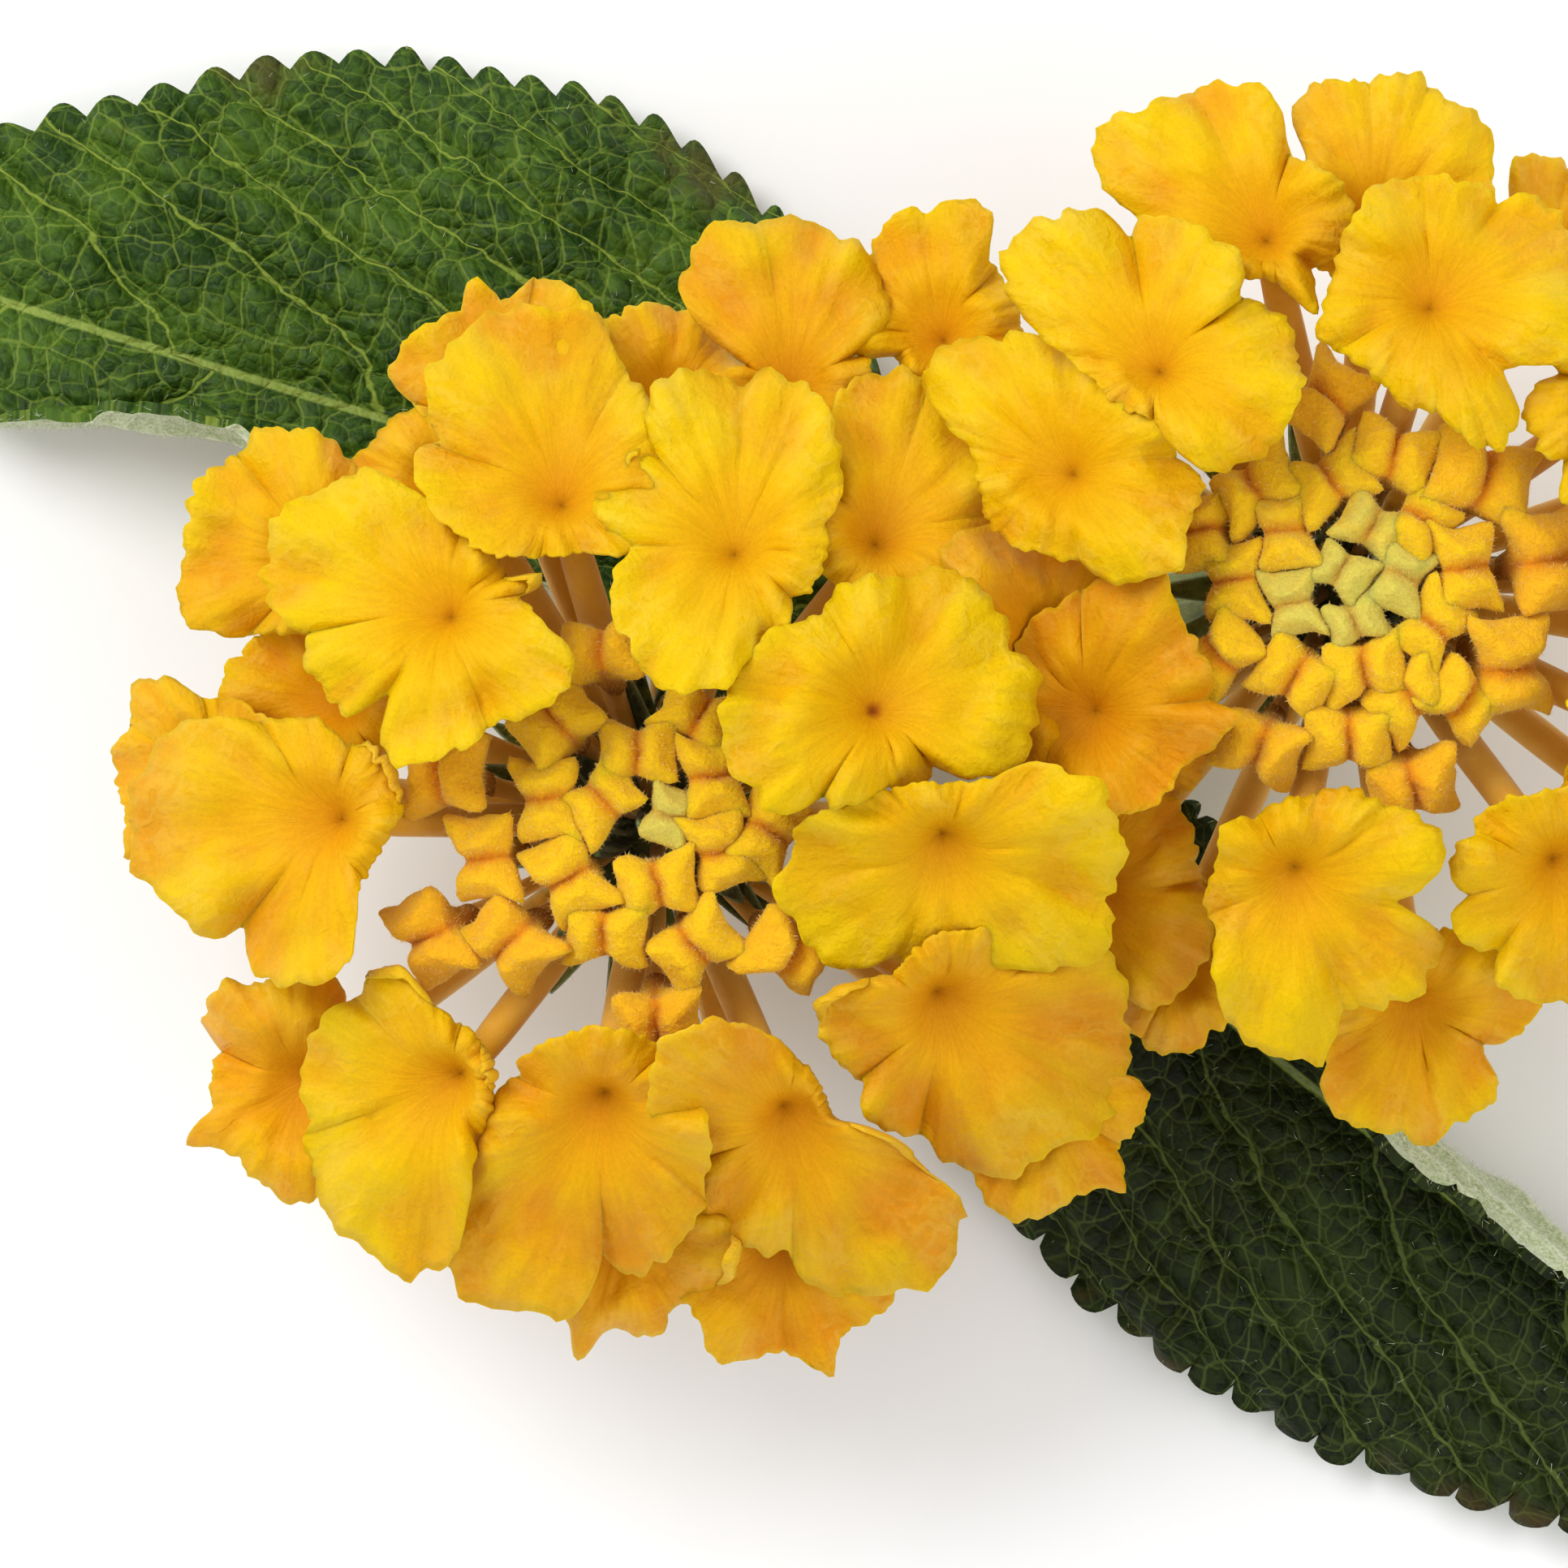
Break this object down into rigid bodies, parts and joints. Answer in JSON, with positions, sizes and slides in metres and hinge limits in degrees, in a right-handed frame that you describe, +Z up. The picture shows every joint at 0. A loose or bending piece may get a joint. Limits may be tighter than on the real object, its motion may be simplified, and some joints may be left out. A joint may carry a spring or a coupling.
{
  "type": "lantana sprig",
  "caption": "Cut lantana sprig lying on a surface: domed heads of ruffled yellow florets round tight buds, a pair of toothed leaves, short stem.",
  "frame": {"origin": "middle of the bounding box in plan, at the height of the surface the sprig lies on", "axes": "+X from the tip of leaf_left towards the tip of leaf_right, +Z up from the surface to the flowers"},
  "size_m": [0.0706, 0.0472, 0.024],
  "materials": {
    "petal": "matte",
    "leaf": "satin",
    "stem": "matte"
  },
  "bodies": {
    "root": {"stem": "stem", "leaf_left": "leaf", "leaf_right": "leaf", "peduncle_left": "stem", "peduncle_right": "stem", "flowers_left": "petal", "flowers_right": "petal"}
  },
  "joints": []
}
